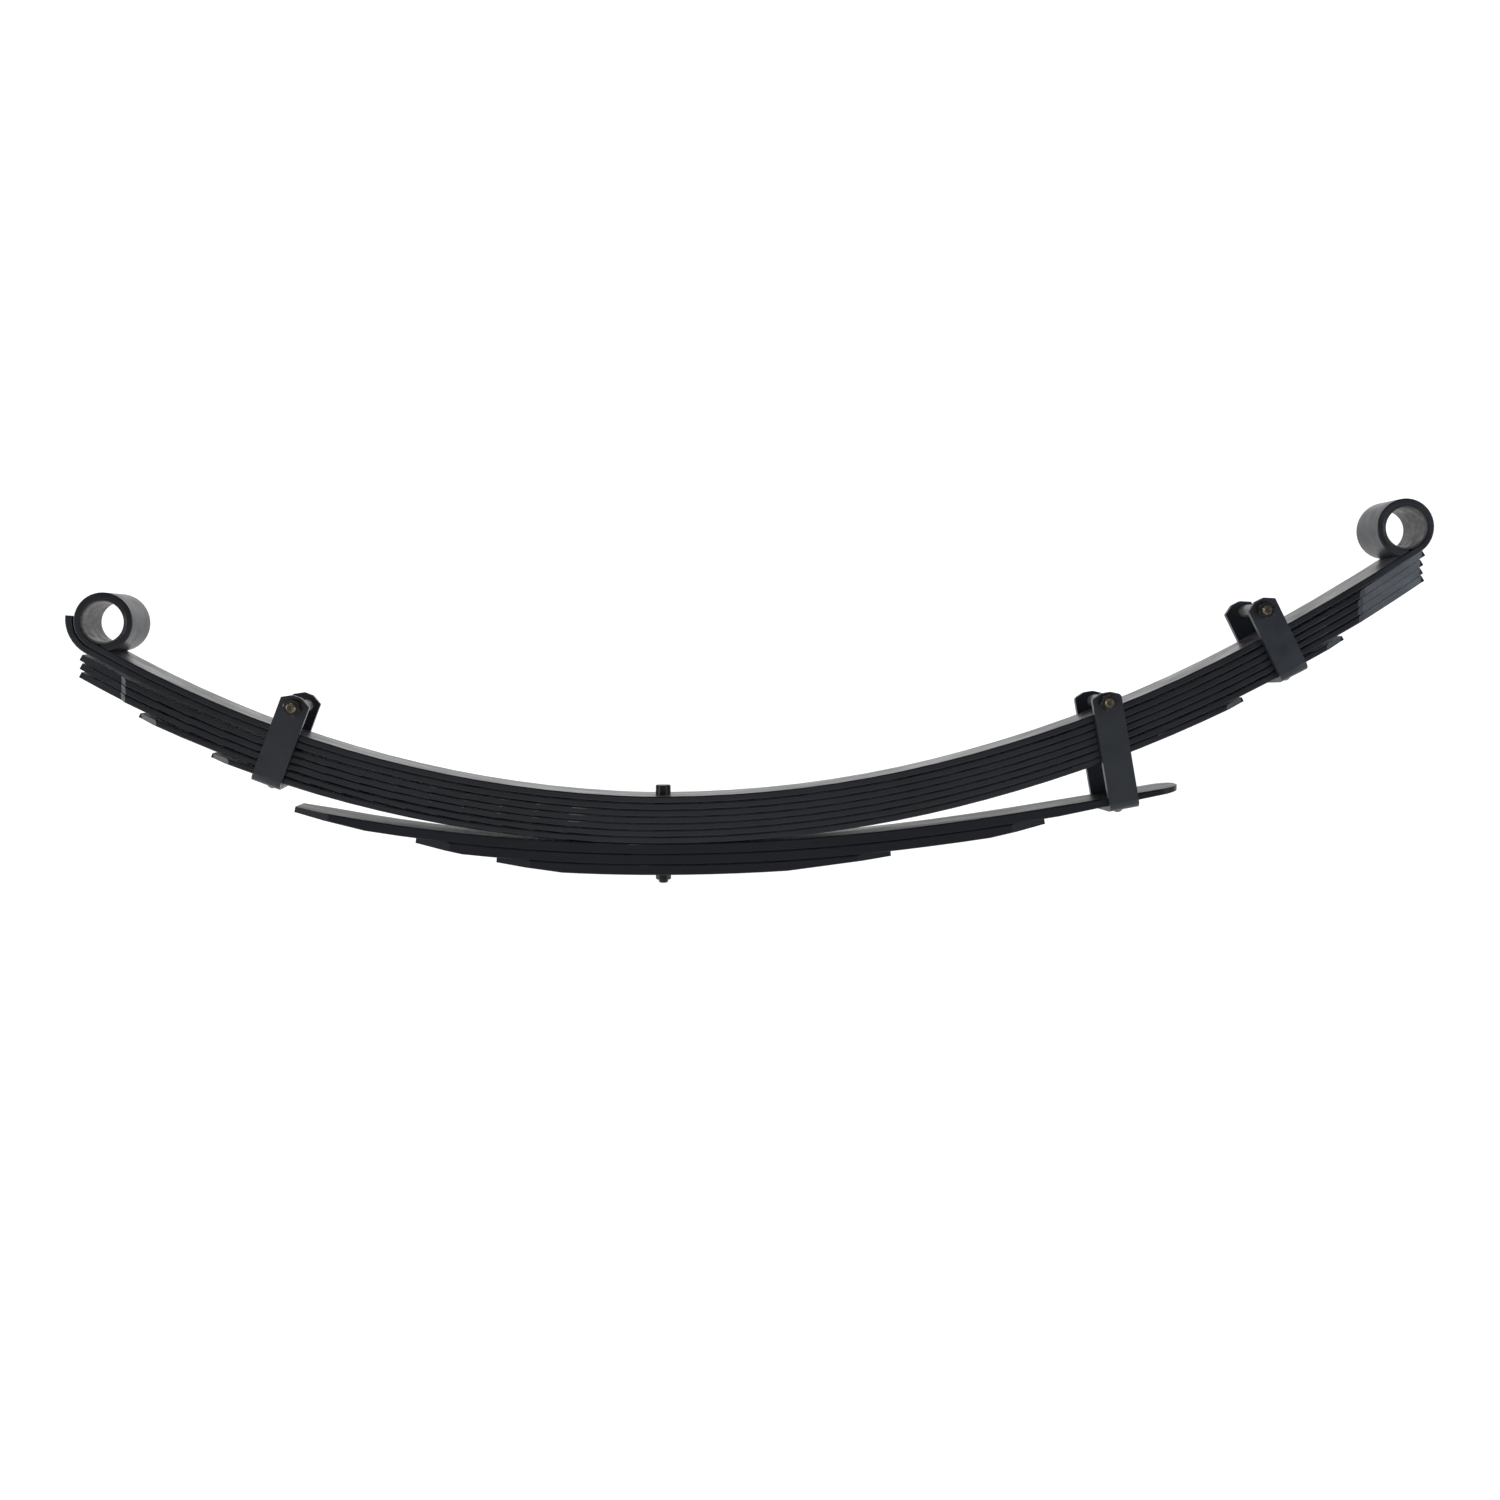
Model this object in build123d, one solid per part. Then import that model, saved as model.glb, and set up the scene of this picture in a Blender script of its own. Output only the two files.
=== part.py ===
from build123d import *
import os
from math import asin, cos, degrees, radians, sin, sqrt

# Semi-elliptic leaf spring for a light truck's rear axle, in millimetres.
# Origin: centre-bolt axis, on the main leaf's top face. +X runs to the rear eye, +Y across the
# leaves, +Z up. "Front" is the -X half. "Top" and "bottom" faces are the leaves' wide faces.

# Leaf stock
LEAF_WIDTH = 60.0
LEAF_THICKNESS = 7.0
OVERLOAD_THICKNESS = 11.0
PAINT_FILM = 0.05            # paint between two leaves at the centre bolt
EDGE_ROUND = 1.4             # rolled edge of the bar
BOLT_HOLE_R = 5.3            # centre-bolt hole in every leaf
WRAPPER_GAP = 0.25           # main leaf to wrapper leaf, all along

# Camber of the main leaf's top face: arc radius and the slope in degrees where that arc ends
FRONT_CAMBER = [(900.0, 3.2), (1203.0, 40.0)]
REAR_CAMBER = [(1218.0, 13.7), (1426.0, 27.8), (2288.0, 40.0)]
OVERLOAD_FRONT_CAMBER = [(1890.0, 40.0)]
OVERLOAD_REAR_CAMBER = [(2150.0, 6.6), (3000.0, 9.0), (20000.0, 40.0)]
# Each thin leaf below the main leaf is bent a little flatter in its first arc, so the pack opens
# slightly towards the tips: extra radius of leaves 2 to 7
FRONT_OPENING = (0.0, 125.0, 158.0, 190.0, 243.0, 297.0)
REAR_OPENING = (8.4, 12.7, 15.2, 18.6, 29.0, 29.0)

# Slope of the main leaf where each eye starts
FRONT_EYE_SLOPE = 30.1
REAR_EYE_SLOPE = 32.9
EYE_BORE_R = 23.25           # inside the rolled leaf
EYE_TAIL_ANGLE = 24.0        # the roll stops this far short of a full turn
EYE_TAIL_CLEARANCE = 0.4     # rolled tail to the leaf that it comes back to
SLEEVE_WALL = 2.0
SLEEVE_CHAMFER = 0.5
WRAP_ANGLE = 66.5            # the wrapper leaf goes this far round the front eye
WRAP_SLACK = 2.6             # extra radius of that wrap

# Leaf ends: horizontal reach from the centre bolt, then the tip thickness, the length of the
# thinned stretch, and the plan trim. A trim is (length, first step, inset at the tip), or
# (corner radius,) for a rounded end.
LONG_TRIM_FRONT = (46.0, 6.3, 8.5)
LONG_TRIM_REAR = (70.0, 2.5, 13.0)
SHORT_TRIM = (17.0, 0.0, 7.0)
OVERLOAD_TRIM = (36.0, 0.0, 10.0)
THIN_LEAVES = [
    # front reach, thickness, thinning, trim, rear reach, thickness, thinning, trim
    (598.8, 6.6, 40.0, LONG_TRIM_FRONT, 799.8, 7.0, 0.0, LONG_TRIM_REAR),
    (599.0, 6.6, 40.0, LONG_TRIM_FRONT, 799.8, 7.0, 0.0, LONG_TRIM_REAR),
    (599.8, 6.0, 40.0, LONG_TRIM_FRONT, 801.2, 7.0, 0.0, LONG_TRIM_REAR),
    (539.4, 4.6, 60.0, SHORT_TRIM, 714.6, 4.6, 60.0, SHORT_TRIM),
    (466.3, 4.6, 60.0, SHORT_TRIM, 609.6, 4.6, 60.0, SHORT_TRIM),
]
OVERLOAD_LEAVES = [
    (383.3, 6.0, 75.0, OVERLOAD_TRIM, 546.6, 5.5, 132.0, (24.0,)),
    (258.2, 6.0, 50.0, OVERLOAD_TRIM, 402.8, 6.5, 60.0, OVERLOAD_TRIM),
    (174.3, 6.0, 70.0, OVERLOAD_TRIM, 240.0, 6.0, 110.0, OVERLOAD_TRIM),
]
WRAPPER_REAR = (801.5, 7.0, 0.0, LONG_TRIM_REAR)
TRIM_STEP_LENGTH = 6.0

# M10 hardware
BOLT_R = 5.0
NUT_CLEARANCE = 0.02
THREAD_CHAMFER = 1.2
HEX_AF = 16.0
NUT_HEIGHT = 8.0
BOLT_HEAD_HEIGHT = 6.4
THREAD_END = 3.5             # bolt past its nut
CENTRE_HEAD_R = 8.0
CENTRE_HEAD_HEIGHT = 10.0
CENTRE_HEAD_CHAMFER = 0.7
CENTRE_HEAD_LIFT = 0.04      # the flat head bridges the leaf's slight hollow
CENTRE_NUT_AF = 14.0

# Rebound clips: name, side, reach of the clip's axis on the main leaf, lean from vertical,
# bolt height above the main leaf, leaf that it is riveted to, ear top above the bolt, ear
# rounding, how far the +Y cheek stands towards -X of the -Y cheek
CLIPS = [
    ("front_clip", -1, 389.3, 21.0, 25.0, "leaf_7", 12.0, 2.0, 3.4),
    ("middle_clip", 1, 466.5, 10.3, 7.6, "overload_leaf_1", 10.4, 9.0, 4.1),
    ("rear_clip", 1, 640.4, 27.0, 25.5, "leaf_6", 12.0, 4.0, 4.9),
]
STRAP_WIDTH = 31.0
STRAP_THICKNESS = 5.5
STRAP_GAP = 0.5              # strap's cheek to the leaf's edge
STRAP_INNER_BEND = 3.0
STRAP_SEAT_GAP = 0.5         # strap's floor to the leaf, so the bends clear the leaf's corners
EAR_SHOULDER = 6.0           # ear corner above the bolt's axis
EAR_CROWN_HALF = 5.0
STRAP_HOLE_R = 5.3
SPACER_R = 6.75
SPACER_BORE_R = 5.05
SPACER_END_PLAY = 0.3
RIVET_R = 4.0
RIVET_HOLE_R = 4.1
RIVET_HEAD_R = 6.5
RIVET_HEAD_HEIGHT = 6.0
RIVET_INSET = 0.6            # upset end below the leaf's top face

LEAF_PITCH = LEAF_THICKNESS + PAINT_FILM
OVERLOAD_PITCH = OVERLOAD_THICKNESS + PAINT_FILM
WIDE_FACE_HALF = LEAF_WIDTH / 2
PACK_DEPTH = 7 * LEAF_PITCH + 3 * OVERLOAD_PITCH
EYE_OUTER_R = EYE_BORE_R + LEAF_THICKNESS


class Camber:
    """A leaf's top face on one side of the bolt, as arcs tangent to each other."""

    def __init__(self, side, arcs, height, thins_below=False):
        self.side = side
        self.arcs = arcs
        self.height = height
        self.thins_below = thins_below

    def spans(self, slope):
        """Each arc's radius, and the slopes where it starts and ends, up to a slope."""
        start = 0.0
        for radius, end in self.arcs:
            yield radius, start, min(end, slope)
            if slope <= end:
                return
            start = end

    def point(self, slope, depth=0.0):
        """Where the face has a slope, at a depth below the face."""
        x = 0.0
        z = self.height - depth
        for radius, start, end in self.spans(slope):
            a, b = radians(start), radians(end)
            x += (radius + depth) * (sin(b) - sin(a))
            z += (radius + depth) * (cos(a) - cos(b))
        return Vector(self.side * x, 0, z)

    def slope_at(self, reach):
        """The face's slope at a horizontal distance from the bolt."""
        x = 0.0
        start = 0.0
        for radius, end in self.arcs:
            slope = degrees(asin(min(1.0, (reach - x) / radius + sin(radians(start)))))
            if slope <= end:
                return slope
            x += radius * (sin(radians(end)) - sin(radians(start)))
            start = end
        return slope

    def edges(self, slope, depth):
        """Arcs from the bolt out to a slope, at a depth."""
        return [
            ThreePointArc(
                self.point(start, depth), self.point((start + end) / 2, depth), self.point(end, depth)
            )
            for _, start, end in self.spans(slope)
        ]

    def normal(self, slope):
        """Unit vector out of the top face."""
        return Vector(-self.side * sin(radians(slope)), 0, cos(radians(slope)))

    def tangent(self, slope):
        """Unit vector along the leaf, away from the bolt."""
        return Vector(self.side * cos(radians(slope)), 0, sin(radians(slope)))


def thin_camber(side, level):
    """Camber of thin leaf number level, counted from 0 at the main leaf."""
    arcs = FRONT_CAMBER if side < 0 else REAR_CAMBER
    if level == 0:
        return Camber(side, arcs, 0.0)
    opening = (FRONT_OPENING if side < 0 else REAR_OPENING)[level - 1]
    depth = level * LEAF_PITCH + WRAPPER_GAP
    first = (arcs[0][0] + depth + opening, arcs[0][1])
    rest = [(radius + depth, end) for radius, end in arcs[1:]]
    return Camber(side, [first] + rest, -depth)


def overload_camber(side, level):
    """Camber of overload leaf number level, counted from 0 under the thin leaves."""
    arcs = OVERLOAD_FRONT_CAMBER if side < 0 else OVERLOAD_REAR_CAMBER
    drop = level * OVERLOAD_PITCH
    depth = 7 * LEAF_PITCH + WRAPPER_GAP + drop
    return Camber(side, [(radius + drop, end) for radius, end in arcs], -depth, thins_below=True)


def half_outline(camber, thickness, reach, tip_thickness, thinning):
    """Top edges, end edges and bottom edges of half a leaf seen from the side."""
    slope = camber.slope_at(reach)
    if thinning == 0:
        end = [Line(camber.point(slope), camber.point(slope, thickness))]
        return camber.edges(slope, 0.0), end, camber.edges(slope, thickness)
    start = camber.slope_at(reach - thinning)
    if camber.thins_below:
        tip = camber.point(slope, tip_thickness)
        end = [Line(camber.point(slope), tip), Line(tip, camber.point(start, thickness))]
        return camber.edges(slope, 0.0), end, camber.edges(start, thickness)
    tip = camber.point(slope, thickness - tip_thickness)
    end = [Line(camber.point(start), tip), Line(tip, camber.point(slope, thickness))]
    return camber.edges(start, 0.0), end, camber.edges(slope, thickness)


def bar(halves):
    """A leaf of the full width, with its four long edges rounded."""
    edges = [edge for half in halves for group in half for edge in group]
    solid = extrude(Face(Wire(edges)), amount=WIDE_FACE_HALF, dir=(0, 1, 0), both=True)
    long_edges = [
        edge
        for edge in solid.edges()
        if abs(abs(edge.center().Y) - WIDE_FACE_HALF) < 0.01 and edge.length > 1.2 * OVERLOAD_THICKNESS
    ]
    return fillet(long_edges, EDGE_ROUND)


def corner_trim(side, reach, trim):
    """The two pieces cut off a leaf end's corners, as prisms through the leaf."""
    margin = 5.0
    half = WIDE_FACE_HALF
    outer = half + margin
    beyond = reach + margin
    if len(trim) == 1:
        radius = trim[0]
        start = (reach - radius, half)
        end = (reach, half - radius)
        middle = (reach - radius * (1 - cos(radians(45))), half - radius * (1 - sin(radians(45))))
        inner = [ThreePointArc(start, middle, end), Line(end, (beyond, end[1]))]
        corner = (beyond, end[1])
    else:
        length, step, inset = trim
        start = (reach - length, half)
        tip = (reach, half - inset)
        corner = (beyond, tip[1])
        if step > 0:
            shoulder = (reach - length + TRIM_STEP_LENGTH, half - step)
            inner = [Line(start, shoulder), Line(shoulder, tip), Line(tip, corner)]
        else:
            inner = [Line(start, tip), Line(tip, corner)]
    outside = [Line(corner, (beyond, outer)), Line((beyond, outer), (start[0], outer))]
    loop = inner + outside + [Line((start[0], outer), start)]
    prism = extrude(Face(Wire(loop)), amount=500, both=True)
    pair = [prism, mirror(prism, about=Plane.XZ)]
    return pair if side > 0 else [mirror(piece, about=Plane.YZ) for piece in pair]


def bolt_hole():
    """Centre-bolt hole through the whole pack."""
    return Location((0, 0, -PACK_DEPTH / 2)) * Cylinder(BOLT_HOLE_R, 2 * PACK_DEPTH)


def plain_leaf(front, rear, thickness, ends):
    """A leaf with two thinned and trimmed ends."""
    front_end, rear_end = ends[:4], ends[4:]
    halves = [
        half_outline(front, thickness, *front_end[:3]),
        half_outline(rear, thickness, *rear_end[:3]),
    ]
    leaf = bar(halves)
    for camber, end in ((front, front_end), (rear, rear_end)):
        for piece in corner_trim(camber.side, end[0], end[3]):
            leaf -= piece
    return leaf - bolt_hole()


def roll_section(camber, slope, radius, centre):
    """The bar's rounded section, standing where a roll about a centre starts."""
    middle = centre - camber.normal(slope) * (radius + LEAF_THICKNESS / 2)
    plane = Plane(origin=middle, x_dir=camber.normal(slope), z_dir=camber.tangent(slope))
    return plane * RectangleRounded(LEAF_THICKNESS, LEAF_WIDTH, EDGE_ROUND)


def eye_centre(side):
    """Axis point of an eye."""
    camber = thin_camber(side, 0)
    slope = FRONT_EYE_SLOPE if side < 0 else REAR_EYE_SLOPE
    return camber.point(slope) + camber.normal(slope) * EYE_BORE_R


def eye(side):
    """An eye rolled upwards from the end of the main leaf."""
    camber = thin_camber(side, 0)
    slope = FRONT_EYE_SLOPE if side < 0 else REAR_EYE_SLOPE
    centre = eye_centre(side)
    axis = Axis(centre, (0, -side, 0))
    roll = revolve(roll_section(camber, slope, EYE_BORE_R, centre), axis, 360 - EYE_TAIL_ANGLE)
    drop = EYE_BORE_R - EYE_TAIL_CLEARANCE
    plane = Plane(
        origin=centre - camber.normal(slope) * drop,
        x_dir=camber.tangent(slope),
        z_dir=camber.normal(slope),
    )
    under_tail = plane * Location((-EYE_OUTER_R, 0, -LEAF_THICKNESS)) * Box(
        2 * EYE_OUTER_R, 2 * LEAF_WIDTH, 2 * LEAF_THICKNESS
    )
    return roll - under_tail


def main_leaf():
    """The leaf that carries both eyes."""
    halves = []
    for side, slope in ((-1, FRONT_EYE_SLOPE), (1, REAR_EYE_SLOPE)):
        camber = thin_camber(side, 0)
        reach = abs(camber.point(slope).X)
        halves.append(half_outline(camber, LEAF_THICKNESS, reach, LEAF_THICKNESS, 0))
    return bar(halves) + eye(-1) + eye(1) - bolt_hole()


def wrapper_leaf():
    """The second leaf, which wraps part of the way round the front eye."""
    front = thin_camber(-1, 1)
    rear = thin_camber(1, 1)
    reach = abs(front.point(FRONT_EYE_SLOPE).X)
    halves = [
        half_outline(front, LEAF_THICKNESS, reach, LEAF_THICKNESS, 0),
        half_outline(rear, LEAF_THICKNESS, *WRAPPER_REAR[:3]),
    ]
    leaf = bar(halves)
    for piece in corner_trim(1, WRAPPER_REAR[0], WRAPPER_REAR[3]):
        leaf -= piece
    radius = EYE_OUTER_R + WRAPPER_GAP + WRAP_SLACK
    centre = front.point(FRONT_EYE_SLOPE) + front.normal(FRONT_EYE_SLOPE) * radius
    section = roll_section(front, FRONT_EYE_SLOPE, radius, centre)
    wrap = revolve(section, Axis(centre, (0, 1, 0)), WRAP_ANGLE)
    return leaf + wrap - bolt_hole()


def eye_sleeve(side):
    """Thin steel liner pressed into an eye."""
    tube = Cylinder(EYE_BORE_R, LEAF_WIDTH) - Cylinder(EYE_BORE_R - SLEEVE_WALL, LEAF_WIDTH)
    tube = chamfer(tube.edges().filter_by(GeomType.CIRCLE), SLEEVE_CHAMFER)
    return Location(eye_centre(side)) * Rotation(90, 0, 0) * tube


def hex_prism(across_flats, height, bore_r=0.0):
    """A hexagon with chamfered corners, standing on its base."""
    corner_r = across_flats / 2 / cos(radians(30))
    prism = extrude(RegularPolygon(corner_r, 6), height)
    rim = 0.97 * corner_r
    cone = Location((0, 0, height / 2)) * Cylinder(corner_r, height)
    cone = chamfer(cone.edges().filter_by(GeomType.CIRCLE), corner_r - 0.93 * rim, 1.0)
    body = prism & cone
    if bore_r > 0:
        body -= Location((0, 0, height / 2)) * Cylinder(bore_r, 2 * height)
    return body


def shank(length):
    """Bolt shank from z = 0 down, with a chamfered thread end."""
    rod = Location((0, 0, -length / 2)) * Cylinder(BOLT_R, length)
    return chamfer(rod.edges().sort_by(Axis.Z)[0], THREAD_CHAMFER)


def centre_bolt():
    """Cheese-headed bolt that holds the pack together and locates the axle."""
    head = Location((0, 0, CENTRE_HEAD_HEIGHT / 2)) * Cylinder(CENTRE_HEAD_R, CENTRE_HEAD_HEIGHT)
    head = chamfer(head.edges().sort_by(Axis.Z)[-1], CENTRE_HEAD_CHAMFER)
    length = PACK_DEPTH + WRAPPER_GAP + CENTRE_HEAD_LIFT + NUT_HEIGHT + THREAD_END
    return Location((0, 0, CENTRE_HEAD_LIFT)) * (head + shank(length))


def centre_nut():
    """Nut of the centre bolt, under the last overload leaf."""
    nut = hex_prism(CENTRE_NUT_AF, NUT_HEIGHT, BOLT_R + NUT_CLEARANCE)
    return Location((0, 0, -PACK_DEPTH - WRAPPER_GAP - 0.1 - NUT_HEIGHT)) * nut


class Clip:
    """Rebound clip: its own frame has the bolt's axis along Y at the origin, +Z up the cheeks."""

    def __init__(self, pieces, name, side, reach, lean, rise, leaf, crown, rounding, skew):
        camber = thin_camber(side, 0)
        self.name = name
        self.leaf = leaf
        self.crown = crown
        self.rounding = rounding
        self.skew = skew
        tilt = -side * lean
        foot = camber.point(camber.slope_at(reach))
        self.bolt = foot + Vector(sin(radians(tilt)), 0, cos(radians(tilt))) * rise
        self.place = Location(self.bolt) * Rotation(0, tilt, 0)
        held = self.place.inverse() * pieces[leaf]
        over_strap = held & Box(STRAP_WIDTH + 2 * skew, LEAF_WIDTH, 4 * PACK_DEPTH)
        over_rivet = held & Box(2 * RIVET_R, 2 * RIVET_R, 4 * PACK_DEPTH)
        self.base = over_strap.bounding_box().min.Z - STRAP_SEAT_GAP - STRAP_THICKNESS
        self.rivet_top = over_rivet.bounding_box().max.Z - RIVET_INSET

    def strap(self):
        """Forged U of flat bar, open at the top, with ears for the bolt."""
        inner = WIDE_FACE_HALF + STRAP_GAP
        outer = inner + STRAP_THICKNESS
        height = self.crown - self.base
        outside = Location((0, 0, self.base + height / 2)) * Box(2 * STRAP_WIDTH, 2 * outer, height)
        low = outside.edges().filter_by(Axis.X).sort_by(Axis.Z)[:2]
        outside = fillet(low, STRAP_INNER_BEND + STRAP_THICKNESS)
        floor = self.base + STRAP_THICKNESS
        inside = Location((0, 0, floor + height)) * Box(3 * STRAP_WIDTH, 2 * inner, 2 * height)
        low = inside.edges().filter_by(Axis.X).sort_by(Axis.Z)[:2]
        inside = fillet(low, STRAP_INNER_BEND)
        holes = Rotation(90, 0, 0) * Cylinder(STRAP_HOLE_R, 4 * outer)
        rivet_hole = Location((0, 0, self.base)) * Cylinder(RIVET_HOLE_R, 4 * STRAP_THICKNESS)
        strap = (outside - inside) & self.silhouette(outer)
        return self.place * (strap - holes - rivet_hole)

    def silhouette(self, outer):
        """The strap's side view with its roof-shaped ears, swept across with the cheeks' skew."""
        half = STRAP_WIDTH / 2
        outline = Polyline(
            (-half, self.base - 1),
            (half, self.base - 1),
            (half, EAR_SHOULDER),
            (EAR_CROWN_HALF, self.crown),
            (-EAR_CROWN_HALF, self.crown),
            (-half, EAR_SHOULDER),
            close=True,
        )
        face = Face(Wire(outline.edges()))
        face = fillet(face.vertices().sort_by(Axis.Y)[-4:], self.rounding / 2)
        start = Location((self.skew / 4, -1.5 * outer, 0)) * (Plane.XZ * face)
        sweep_length = 1.5 * sqrt(self.skew**2 + (2 * outer) ** 2)
        return extrude(start, amount=sweep_length, dir=(-self.skew, 2 * outer, 0))

    def bolt_solid(self):
        """Hex bolt across the ears, with its head on the +Y side."""
        outer = WIDE_FACE_HALF + STRAP_GAP + STRAP_THICKNESS
        length = 2 * outer + NUT_HEIGHT + THREAD_END
        bolt = hex_prism(HEX_AF, BOLT_HEAD_HEIGHT) + shank(length)
        return self.place * Location((0, outer, 0)) * Rotation(-90, 0, 0) * bolt

    def nut(self):
        """Nut on the -Y ear."""
        outer = WIDE_FACE_HALF + STRAP_GAP + STRAP_THICKNESS
        nut = hex_prism(HEX_AF, NUT_HEIGHT, BOLT_R + NUT_CLEARANCE)
        return self.place * Location((0, -outer, 0)) * Rotation(90, 0, 0) * nut

    def spacer(self):
        """Tube on the bolt that keeps the ears apart and rolls against the main leaf."""
        length = LEAF_WIDTH + 2 * STRAP_GAP - 2 * SPACER_END_PLAY
        tube = Cylinder(SPACER_R, length) - Cylinder(SPACER_BORE_R, length)
        return self.place * Rotation(90, 0, 0) * tube

    def rivet_tool(self, radius):
        """Straight pin on the rivet's axis, through the strap and the riveted leaf."""
        length = self.rivet_top - self.base
        return self.place * Location((0, 0, self.base + length / 2)) * Cylinder(radius, length)

    def rivet(self):
        """Domed rivet that fixes the strap under its leaf."""
        ball_r = (RIVET_HEAD_R**2 + RIVET_HEAD_HEIGHT**2) / (2 * RIVET_HEAD_HEIGHT)
        ball = Location((0, 0, self.base - RIVET_HEAD_HEIGHT + ball_r)) * Sphere(ball_r)
        below = Location((0, 0, self.base - ball_r)) * Box(4 * ball_r, 4 * ball_r, 2 * ball_r)
        return self.rivet_tool(RIVET_R) + self.place * (ball & below)


def save(name, shape):
    """Write one named piece."""
    export_step(shape, f"parts/{name}.step")


def build():
    """Make every piece of the spring."""
    pieces = {"main_leaf": main_leaf(), "wrapper_leaf": wrapper_leaf()}
    for index, ends in enumerate(THIN_LEAVES):
        level = index + 2
        cambers = (thin_camber(-1, level), thin_camber(1, level))
        pieces[f"leaf_{level + 1}"] = plain_leaf(*cambers, LEAF_THICKNESS, ends)
    for level, ends in enumerate(OVERLOAD_LEAVES):
        cambers = (overload_camber(-1, level), overload_camber(1, level))
        pieces[f"overload_leaf_{level + 1}"] = plain_leaf(*cambers, OVERLOAD_THICKNESS, ends)
    for row in CLIPS:
        clip = Clip(pieces, *row)
        print(clip.name, "bolt axis at", [round(value, 3) for value in clip.bolt])
        pieces[clip.leaf] -= clip.rivet_tool(RIVET_HOLE_R)
        pieces[f"{clip.name}_strap"] = clip.strap()
        pieces[f"{clip.name}_bolt"] = clip.bolt_solid()
        pieces[f"{clip.name}_nut"] = clip.nut()
        pieces[f"{clip.name}_spacer"] = clip.spacer()
        pieces[f"{clip.name}_rivet"] = clip.rivet()
    pieces["front_eye_sleeve"] = eye_sleeve(-1)
    pieces["rear_eye_sleeve"] = eye_sleeve(1)
    pieces["centre_bolt"] = centre_bolt()
    pieces["centre_nut"] = centre_nut()
    return pieces


os.makedirs("parts", exist_ok=True)
for name, shape in build().items():
    save(name, shape)
for side in (-1, 1):
    print("eye centre", [round(value, 3) for value in eye_centre(side)])
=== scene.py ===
import math

import bpy
from mathutils import Matrix, Vector


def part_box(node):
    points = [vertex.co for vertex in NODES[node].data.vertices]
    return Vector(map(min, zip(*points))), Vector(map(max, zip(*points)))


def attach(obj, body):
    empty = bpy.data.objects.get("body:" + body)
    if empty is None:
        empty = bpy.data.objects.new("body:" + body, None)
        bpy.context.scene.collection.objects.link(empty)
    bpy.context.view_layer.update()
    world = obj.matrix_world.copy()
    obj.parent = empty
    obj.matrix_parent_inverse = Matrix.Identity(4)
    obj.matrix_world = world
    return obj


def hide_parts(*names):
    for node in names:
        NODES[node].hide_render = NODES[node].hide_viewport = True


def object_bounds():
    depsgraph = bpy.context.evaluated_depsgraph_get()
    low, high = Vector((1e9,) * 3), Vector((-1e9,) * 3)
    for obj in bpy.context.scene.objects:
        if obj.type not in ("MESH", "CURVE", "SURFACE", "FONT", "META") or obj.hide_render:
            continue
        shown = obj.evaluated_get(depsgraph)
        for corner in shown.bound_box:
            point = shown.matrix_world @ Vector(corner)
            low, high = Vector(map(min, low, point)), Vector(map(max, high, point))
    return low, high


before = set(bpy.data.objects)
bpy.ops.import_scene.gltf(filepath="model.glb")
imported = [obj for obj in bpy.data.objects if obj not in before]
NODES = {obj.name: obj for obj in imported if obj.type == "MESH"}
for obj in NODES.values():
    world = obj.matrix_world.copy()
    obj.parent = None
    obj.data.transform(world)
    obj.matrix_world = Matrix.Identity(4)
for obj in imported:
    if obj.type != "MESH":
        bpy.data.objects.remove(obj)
cad_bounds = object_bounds()
MM = 0.001

# Clip bolts: lengths in millimetres, head widths as shares of the hexagon's size
BOLT_R = 5.0
HEX_AF = 16.0
HEAD_HEIGHT = 6.4
HEAD_RIM = 0.99
HEAD_SLOPE = 2.2
HEAD_EDGE = 0.15
HEAD_STEP = 0.2
HEAD_ROWS = 5
CROWN_MIDDLE = 0.6
CROWN_EDGE = 0.93
SEAT_WIDTH = 0.95
SEAT_LOW = 0.3
SEAT_TOP = 0.35
SHANK_TOP = -0.01
THREAD_PITCH = 1.5
THREAD_DEPTH = 0.92
THREAD_LENGTH = 16.0
THREAD_RUN_OUT = 0.05
THREAD_CHAMFER = 1.2
CHAMFER_SLOPE = 0.9
GROOVE_TOP = 1.25
GROOVE_SLOPE = 3.0
BARE_END = 3.6
TURN_STEPS = 48
ROWS_PER_PITCH = 8

# Lean of each clip's bolt about its own axis, in degrees
CLIP_LEANS = {"front_clip": 21.0, "middle_clip": -10.3, "rear_clip": -27.0}


# ---------------------------------------------------------------- materials
def new_material(name):
    """An empty material with a Principled shader and an output."""
    material = bpy.data.materials.new(name)
    material.use_nodes = True
    nodes = material.node_tree.nodes
    nodes.clear()
    output = nodes.new("ShaderNodeOutputMaterial")
    shader = nodes.new("ShaderNodeBsdfPrincipled")
    material.node_tree.links.new(shader.outputs["BSDF"], output.inputs["Surface"])
    return material, shader


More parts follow.
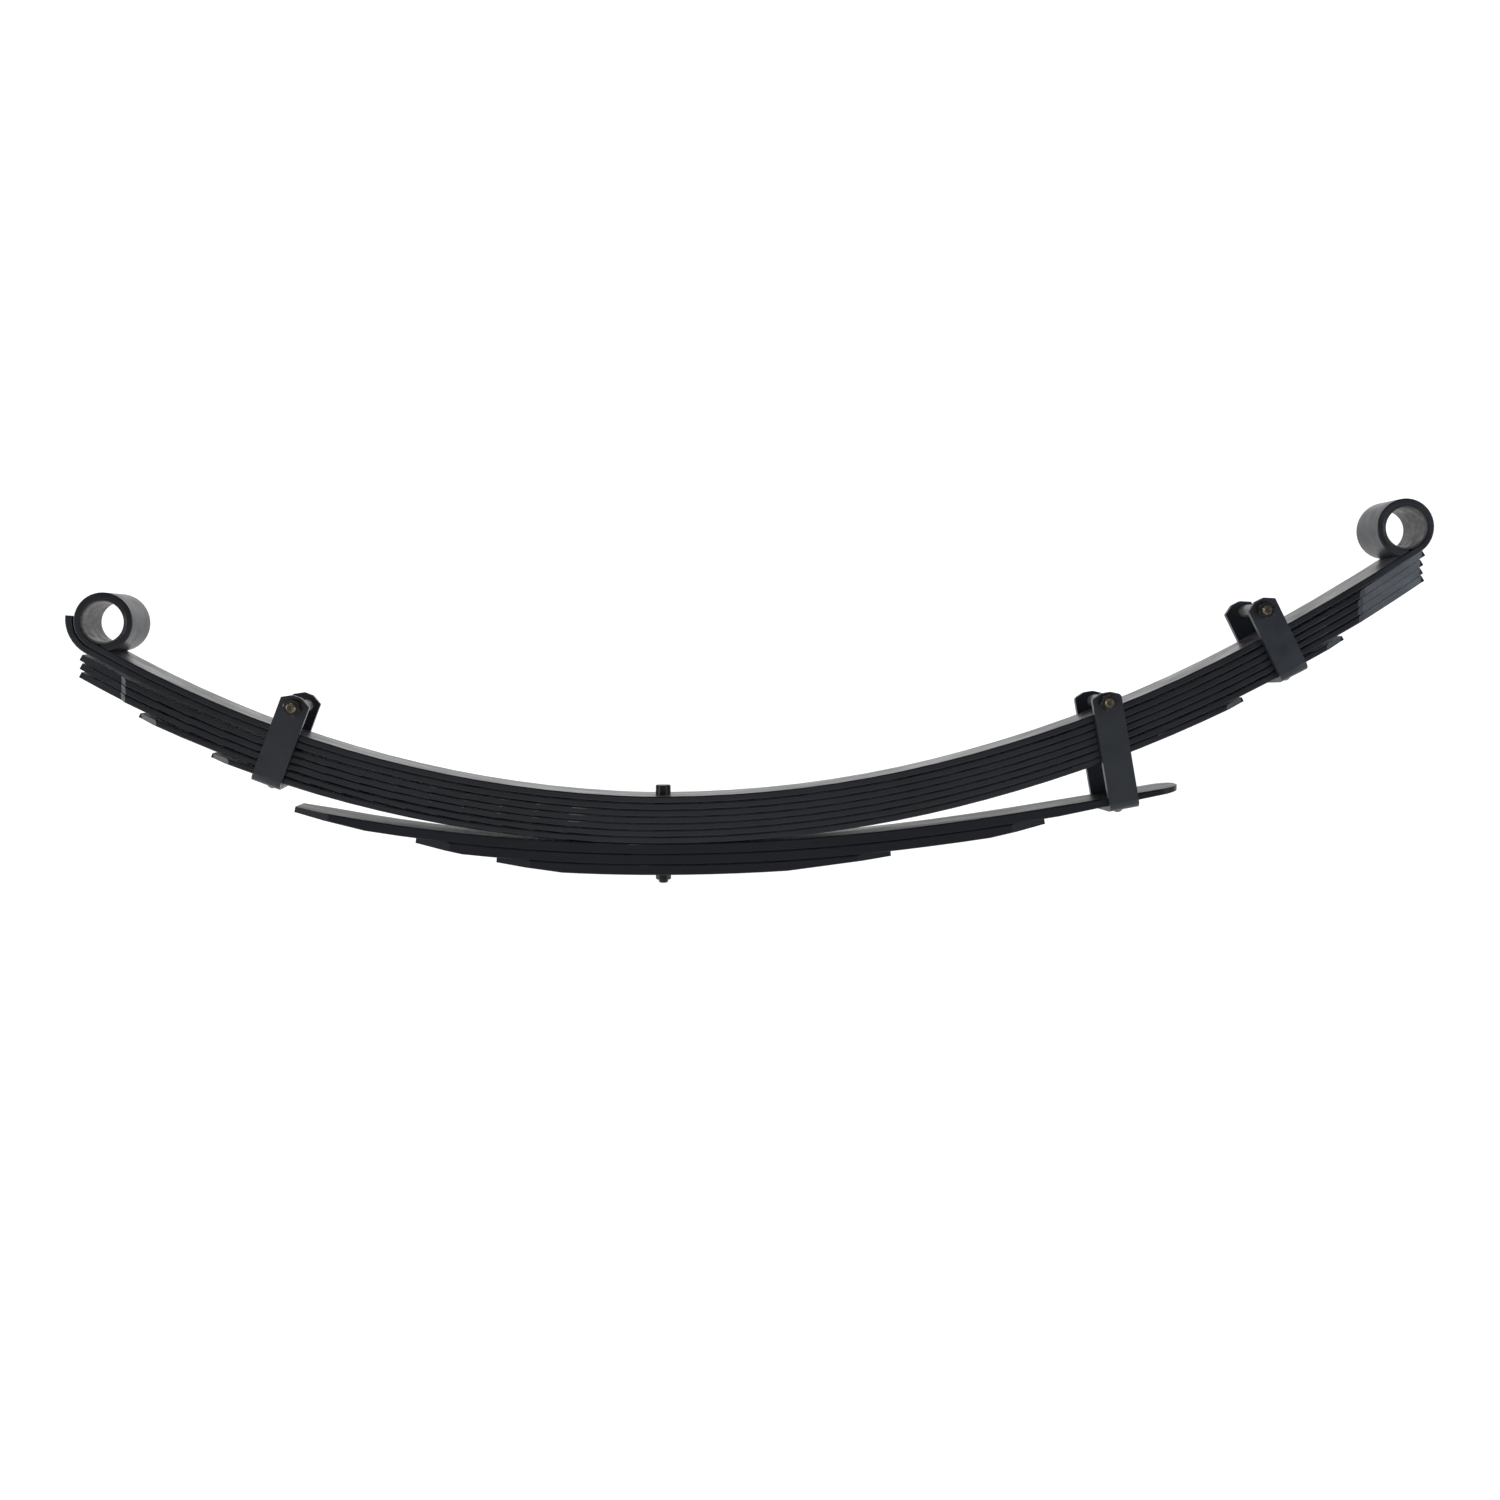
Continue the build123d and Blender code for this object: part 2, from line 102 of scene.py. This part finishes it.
class Surface:
    """Builds a procedural surface on one Principled shader, from object coordinates in metres."""

    def __init__(self, name, metallic, specular=0.5):
        self.material, self.shader = new_material(name)
        self.tree = self.material.node_tree
        self.shader.inputs["Metallic"].default_value = metallic
        self.shader.inputs["Specular IOR Level"].default_value = specular
        self.coordinates = self.node("ShaderNodeTexCoord").outputs["Object"]

    def node(self, kind, **settings):
        """A shader node with its settings."""
        made = self.tree.nodes.new(kind)
        for key, value in settings.items():
            setattr(made, key, value)
        return made

    def link(self, source, target):
        """Joins an output socket to an input socket."""
        self.tree.links.new(source, target)

    def noise(self, scale, detail=4.0, roughness=0.55, stretch=(1, 1, 1)):
        """Noise from 0 to 1, stretched along the axes."""
        mapping = self.node("ShaderNodeMapping")
        mapping.inputs["Scale"].default_value = stretch
        self.link(self.coordinates, mapping.inputs["Vector"])
        texture = self.node("ShaderNodeTexNoise")
        texture.inputs["Scale"].default_value = scale
        texture.inputs["Detail"].default_value = detail
        texture.inputs["Roughness"].default_value = roughness
        self.link(mapping.outputs["Vector"], texture.inputs["Vector"])
        return texture.outputs["Fac"]

    def ramp(self, source, low, high, out_low=0.0, out_high=1.0):
        """A source between low and high, spread over an output range."""
        spread = self.node("ShaderNodeMapRange", interpolation_type="SMOOTHSTEP")
        spread.inputs["From Min"].default_value = low
        spread.inputs["From Max"].default_value = high
        spread.inputs["To Min"].default_value = out_low
        spread.inputs["To Max"].default_value = out_high
        self.link(source, spread.inputs["Value"])
        return spread.outputs["Result"]

    def blend(self, factor, first, second):
        """A mix of two colours; each is a colour or a socket."""
        mix = self.node("ShaderNodeMix", data_type="RGBA")
        self.link(factor, mix.inputs["Factor"])
        for value, socket in ((first, mix.inputs[6]), (second, mix.inputs[7])):
            if isinstance(value, tuple):
                socket.default_value = (*value, 1.0)
            else:
                self.link(value, socket)
        return mix.outputs[2]

    def upward(self):
        """1 on faces that look up, 0 on the sides and below."""
        parts = self.node("ShaderNodeSeparateXYZ")
        self.link(self.node("ShaderNodeTexCoord").outputs["Normal"], parts.inputs["Vector"])
        return self.ramp(parts.outputs["Z"], 0.55, 0.95)

    def times(self, first, second, factor):
        """The product of two sources and a number."""
        product = self.node("ShaderNodeMath", operation="MULTIPLY")
        self.link(first, product.inputs[0])
        self.link(second, product.inputs[1])
        scaled = self.node("ShaderNodeMath", operation="MULTIPLY")
        self.link(product.outputs[0], scaled.inputs[0])
        scaled.inputs[1].default_value = factor
        return scaled.outputs[0]

    def bump(self, source, strength, distance, below=None):
        """A bump from a height source, on top of another bump."""
        bump = self.node("ShaderNodeBump")
        bump.inputs["Strength"].default_value = strength
        bump.inputs["Distance"].default_value = distance
        self.link(source, bump.inputs["Height"])
        if below is not None:
            self.link(below, bump.inputs["Normal"])
        return bump.outputs["Normal"]

    def finish(self, colour, roughness, normal):
        """Joins the three sources to the shader and returns the material."""
        self.link(colour, self.shader.inputs["Base Color"])
        self.link(roughness, self.shader.inputs["Roughness"])
        self.link(normal, self.shader.inputs["Normal"])
        return self.material


def leaf_paint(name, specular, dust_and_sheen_colour, roughest):
    """Satin blue-black paint over rolled bar: rolling streaks, mill pits, and dusty tops that
    also carry a painted sheen.
    """
    s = Surface(name, metallic=0.0, specular=specular)
    clouds = s.noise(9.0, 5.0)
    streaks = s.noise(30.0, 6.0, 0.6, (0.25, 5.0, 5.0))
    dust_and_sheen = s.ramp(s.noise(55.0, 8.0, 0.65), 0.3, 0.8)
    colour = s.blend(
        s.ramp(clouds, 0.3, 0.7), (0.0022, 0.0033, 0.0056), (0.0042, 0.0057, 0.0092)
    )
    colour = s.blend(s.ramp(streaks, 0.5, 0.8, 0.0, 0.5), colour, (0.0080, 0.0096, 0.0132))
    # Real dust and a painted sheen: patches on up-facing faces get a lighter colour that stands
    # in for the light the tops reflect
    colour = s.blend(s.times(dust_and_sheen, s.upward(), 0.8), colour, dust_and_sheen_colour)
    roughness = s.ramp(
        s.noise(22.0, 5.0, 0.6, (0.4, 2.0, 2.0)), 0.25, 0.75, roughest - 0.14, roughest
    )
    normal = s.bump(s.noise(900.0, 3.0), 0.10, 0.0004)
    normal = s.bump(streaks, 0.12, 0.0008, normal)
    return s.finish(colour, roughness, normal)


def clip_paint():
    """Satin black paint on bent flat bar."""
    s = Surface("clip_paint", metallic=0.0, specular=0.4)
    clouds = s.noise(26.0, 5.0)
    scuffs = s.ramp(s.noise(75.0, 8.0, 0.7, (1.0, 1.0, 0.35)), 0.6, 0.78)
    colour = s.blend(s.ramp(clouds, 0.3, 0.7), (0.0065, 0.0085, 0.0120), (0.011, 0.0135, 0.0175))
    colour = s.blend(s.ramp(scuffs, 0.0, 1.0, 0.0, 0.35), colour, (0.035, 0.037, 0.042))
    roughness = s.ramp(s.noise(45.0, 5.0), 0.25, 0.75, 0.3, 0.46)
    normal = s.bump(s.noise(700.0, 4.0), 0.15, 0.0005)
    normal = s.bump(clouds, 0.15, 0.0015, normal)
    return s.finish(colour, roughness, normal)


def metal(name, dark, light, rust, rust_amount, rough, metallic, grain=(1, 1, 1)):
    """Bare or plated steel with turning grain, stains and a little rust."""
    s = Surface(name, metallic=metallic)
    lines = s.noise(160.0, 5.0, 0.6, grain)
    stains = s.ramp(s.noise(60.0, 7.0, 0.65), 0.42, 0.72)
    colour = s.blend(s.ramp(lines, 0.3, 0.7), dark, light)
    colour = s.blend(s.ramp(stains, 0.0, 1.0, 0.0, rust_amount), colour, rust)
    roughness = s.ramp(s.noise(120.0, 5.0), 0.25, 0.75, rough - 0.08, rough + 0.1)
    normal = s.bump(lines, 0.18, 0.0003)
    normal = s.bump(stains, 0.1, 0.0004, normal)
    return s.finish(colour, roughness, normal)


MATERIALS = {
    # Third value is the tops' dust colour with its painted sheen; the overload copy is darker, as
    # painted shade where those leaves lie under the pack
    "leaf": leaf_paint("leaf_paint", 0.34, (0.15, 0.125, 0.13), 0.41),
    "overload": leaf_paint("shaded_overload_paint", 0.2, (0.055, 0.042, 0.038), 0.46),
    "clip": clip_paint(),
    "dark_zinc": metal(
        "dark_zinc",
        (0.02, 0.019, 0.019), (0.05, 0.047, 0.045), (0.05, 0.03, 0.018),
        0.4, 0.3, 0.85,
    ),
    "black_steel": metal(
        "black_steel",
        (0.006, 0.006, 0.007), (0.016, 0.015, 0.015), (0.025, 0.016, 0.011),
        0.3, 0.32, 0.7,
    ),
    "thread": metal(
        "thread_zinc",
        (0.06, 0.048, 0.036), (0.24, 0.19, 0.14), (0.03, 0.04, 0.022),
        0.6, 0.26, 0.9,
    ),
    "spacer": metal(
        "spacer_steel",
        (0.13, 0.125, 0.125), (0.22, 0.215, 0.215), (0.11, 0.08, 0.06),
        0.3, 0.38, 0.85, (4, 0.3, 4),
    ),
    "rivet": metal(
        "rivet_steel",
        (0.07, 0.07, 0.075), (0.17, 0.17, 0.17), (0.06, 0.05, 0.04),
        0.3, 0.3, 0.85,
    ),
    "sleeve": metal(
        "sleeve_steel",
        (0.022, 0.018, 0.018), (0.05, 0.041, 0.041), (0.04, 0.024, 0.019),
        0.7, 0.42, 0.4, (5, 0.3, 5),
    ),
}


def dress(obj, material):
    """Gives an object one material."""
    obj.data.materials.clear()
    obj.data.materials.append(material)


def hex_radius(angle, across_flats):
    """Radius of a hexagon at an angle."""
    turn = (angle + math.pi / 6) % (math.pi / 3) - math.pi / 6
    return across_flats / 2 / math.cos(turn)


def head_radius(angle, along):
    """Hexagon head with a chamfered outer rim, by height above its seat."""
    rim = HEAD_RIM * HEX_AF / 2 + HEAD_SLOPE * (HEAD_HEIGHT - along)
    return min(hex_radius(angle, HEX_AF), rim)


def thread_radius(angle, along, end):
    """Thread crests and roots, cut off by the chamfer at the bolt's end."""
    phase = (along / THREAD_PITCH + angle / (2 * math.pi)) % 1.0
    groove = THREAD_DEPTH * min(1.0, max(0.0, GROOVE_TOP - abs(phase - 0.5) * GROOVE_SLOPE))
    chamfer = BOLT_R - THREAD_CHAMFER + CHAMFER_SLOPE * (along - end)
    return min(BOLT_R - groove, chamfer)


def lathe(name, stations):
    """A mesh from (distance along the axis, radius function) stations; the axis is local Z."""
    vertices, faces = [], []
    for along, radius in stations:
        for step in range(TURN_STEPS):
            angle = 2 * math.pi * step / TURN_STEPS
            r = radius(angle)
            vertices.append((r * math.cos(angle) * MM, r * math.sin(angle) * MM, along * MM))
    for row in range(len(stations) - 1):
        for step in range(TURN_STEPS):
            after = (step + 1) % TURN_STEPS
            base, above = row * TURN_STEPS, (row + 1) * TURN_STEPS
            faces.append((base + step, base + after, above + after, above + step))
    faces.append(tuple(reversed(range(TURN_STEPS))))
    faces.append(tuple(range((len(stations) - 1) * TURN_STEPS, len(stations) * TURN_STEPS)))
    mesh = bpy.data.meshes.new(name)
    mesh.from_pydata(vertices, [], faces)
    mesh.update()
    obj = bpy.data.objects.new(name, mesh)
    bpy.context.scene.collection.objects.link(obj)
    return obj


def constant(radius):
    """A radius that is the same all round."""
    return lambda angle: radius


def threaded_stations(start, end):
    """Rows down a thread, from start to the lower end."""
    rows = int(round((start - end) / THREAD_PITCH * ROWS_PER_PITCH))
    for row in range(rows + 1):
        along = start + (end - start) * row / rows
        yield along, lambda angle, along=along: thread_radius(angle, along, end)


def thread_faces(obj, below):
    """Gives the thread's bare end its own finish."""
    obj.data.materials.append(MATERIALS["thread"])
    for polygon in obj.data.polygons:
        if polygon.center.z < below * MM:
            polygon.material_index = 1


def clip_bolt(clip, lean):
    """Hex bolt with a real thread, on the CAD bolt's axis, with its head on the +Y side."""
    low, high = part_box(f"{clip}_bolt")
    length = (high.y - low.y) / MM - HEAD_HEIGHT
    stations = [
        (HEAD_HEIGHT, constant(CROWN_MIDDLE * HEX_AF / 2)),
        (HEAD_HEIGHT - HEAD_EDGE, constant(CROWN_EDGE * HEX_AF / 2)),
    ]
    for step in range(HEAD_ROWS):
        along = HEAD_HEIGHT - HEAD_EDGE - HEAD_STEP * step
        stations.append((along, lambda angle, along=along: head_radius(angle, along)))
    stations += [
        (SEAT_TOP, lambda angle: hex_radius(angle, HEX_AF)),
        (SEAT_LOW, constant(SEAT_WIDTH * HEX_AF / 2)),
        (0.0, constant(SEAT_WIDTH * HEX_AF / 2)),
        (SHANK_TOP, constant(BOLT_R)),
        (-length + THREAD_LENGTH + THREAD_RUN_OUT, constant(BOLT_R)),
    ]
    stations += list(threaded_stations(-length + THREAD_LENGTH, -length))
    obj = lathe(f"{clip}_threaded_bolt", list(reversed(stations)))
    centre = (low + high) / 2
    obj.matrix_world = (
        Matrix.Translation((centre.x, high.y - HEAD_HEIGHT * MM, centre.z))
        @ Matrix.Rotation(math.radians(lean), 4, "Y")
        @ Matrix.Rotation(math.radians(-90), 4, "X")
    )
    dress(obj, MATERIALS["dark_zinc"])
    thread_faces(obj, -length + BARE_END)
    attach(obj, "spring")
    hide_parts(f"{clip}_bolt")


for name, node in NODES.items():
    if name.startswith("overload_"):
        dress(node, MATERIALS["overload"])
    elif "leaf" in name:
        dress(node, MATERIALS["leaf"])
    elif name.endswith("_strap"):
        dress(node, MATERIALS["clip"])
    elif name.endswith("_spacer"):
        dress(node, MATERIALS["spacer"])
    elif name.endswith("_rivet"):
        dress(node, MATERIALS["rivet"])
    elif name.endswith("_sleeve"):
        dress(node, MATERIALS["sleeve"])
    elif name.startswith("centre_"):
        dress(node, MATERIALS["black_steel"])
    else:
        dress(node, MATERIALS["dark_zinc"])

for clip, lean in CLIP_LEANS.items():
    clip_bolt(clip, lean)

# The straps' sharp edges are rounded so that they catch the light
BEVEL = 0.45
BEVEL_ANGLE = 40
WELD_GAP = 1e-6
for clip in CLIP_LEANS:
    strap = NODES[f"{clip}_strap"]
    weld = strap.modifiers.new("weld", "WELD")
    weld.merge_threshold = WELD_GAP
    bevel = strap.modifiers.new("bevel", "BEVEL")
    bevel.width = BEVEL * MM
    bevel.segments = 2
    bevel.limit_method = "ANGLE"
    bevel.angle_limit = math.radians(BEVEL_ANGLE)

# ---------------------------------------------------------------- stage
# Metres; the floor runs from STAGE_FRONT to a cove and a wall at STAGE_BACK
FLOOR_GAP = 0.0005
COVE_R = 0.9
COVE_STEPS = 24
STAGE_HALF = 9.0
STAGE_FRONT = -6.0
STAGE_BACK = 2.6
WALL_TOP = 2.0
# The floor glows less in front of the camera
DIM_Y, BRIGHT_Y = -2.6, -1.7
DIM_GLOW, BRIGHT_GLOW = 0.45, 0.95


def stage_mesh(floor_z):
    """A floor that curves up into a back wall."""
    profile = [(STAGE_FRONT, floor_z)]
    for step in range(COVE_STEPS + 1):
        turn = math.pi / 2 * step / COVE_STEPS
        y = STAGE_BACK - COVE_R + COVE_R * math.sin(turn)
        z = floor_z + COVE_R - COVE_R * math.cos(turn)
        profile.append((y, z))
    profile.append((STAGE_BACK, WALL_TOP))
    vertices = [(x, y, z) for y, z in profile for x in (-STAGE_HALF, STAGE_HALF)]
    faces = [(2 * i, 2 * i + 1, 2 * i + 3, 2 * i + 2) for i in range(len(profile) - 1)]
    mesh = bpy.data.meshes.new("floor")
    mesh.from_pydata(vertices, [], faces)
    mesh.update()
    for polygon in mesh.polygons:
        polygon.use_smooth = True
    obj = bpy.data.objects.new("floor", mesh)
    bpy.context.scene.collection.objects.link(obj)
    return obj


def floor_material():
    """Plain white studio paper."""
    s = Surface("floor_paper", metallic=0.0, specular=0.1)
    colour = s.blend(s.noise(3.0), (0.28, 0.28, 0.28), (0.32, 0.32, 0.32))
    roughness = s.ramp(s.noise(40.0), 0.0, 1.0, 0.85, 0.95)
    normal = s.bump(s.noise(400.0), 0.02, 0.0002)
    s.shader.inputs["Emission Color"].default_value = (1, 1, 1, 1)
    parts = s.node("ShaderNodeSeparateXYZ")
    s.link(s.coordinates, parts.inputs["Vector"])
    glow = s.ramp(parts.outputs["Y"], DIM_Y, BRIGHT_Y, DIM_GLOW, BRIGHT_GLOW)
    s.link(glow, s.shader.inputs["Emission Strength"])
    return s.finish(colour, roughness, normal)


floor = stage_mesh(cad_bounds[0][2] - FLOOR_GAP)
dress(floor, floor_material())


def area_light(name, place, target, size, power, colour):
    """A soft rectangular light aimed at a point."""
    data = bpy.data.lights.new(name, "AREA")
    data.shape = "RECTANGLE"
    data.size, data.size_y = size
    data.energy = power
    data.color = colour
    obj = bpy.data.objects.new(name, data)
    obj.location = place
    obj.rotation_euler = (Vector(target) - Vector(place)).to_track_quat("-Z", "Y").to_euler()
    bpy.context.scene.collection.objects.link(obj)


area_light("key", (-0.8, -1.0, 1.5), (0.0, 0.0, 0.05), (1.2, 0.8), 3.0, (1.0, 1.0, 1.0))
area_light("right", (2.4, -1.4, 0.6), (0.7, 0.0, 0.2), (0.8, 1.2), 24.0, (0.8, 0.89, 1.0))
area_light("left", (-3.0, -1.4, 0.5), (-0.5, 0.0, 0.1), (0.8, 1.2), 42.0, (1.0, 1.0, 1.0))
area_light("rim", (-3.2, -0.1, 0.35), (-0.5, 0.0, 0.1), (0.7, 1.4), 55.0, (0.94, 0.94, 1.0))

world = bpy.data.worlds.new("studio")
world.use_nodes = True
background = world.node_tree.nodes["Background"]
background.inputs["Color"].default_value = (0.8, 0.9, 1.0, 1.0)
background.inputs["Strength"].default_value = 0.15
bpy.context.scene.world = world
bpy.context.scene.view_settings.view_transform = "Standard"

# ---------------------------------------------------------------- camera
LENS = 41.47
SENSOR = 36.0
CAMERA_PLACE = (0.0393, -1.830, 0.158)
LOOK_DOWN = 3.477
YAW = -1.654
camera_data = bpy.data.cameras.new("camera")
camera_data.lens = LENS
camera_data.sensor_width = SENSOR
camera = bpy.data.objects.new("camera", camera_data)
camera.location = CAMERA_PLACE
camera.rotation_euler = (math.radians(90 - LOOK_DOWN), 0.0, math.radians(YAW))
bpy.context.scene.collection.objects.link(camera)
bpy.context.scene.camera = camera
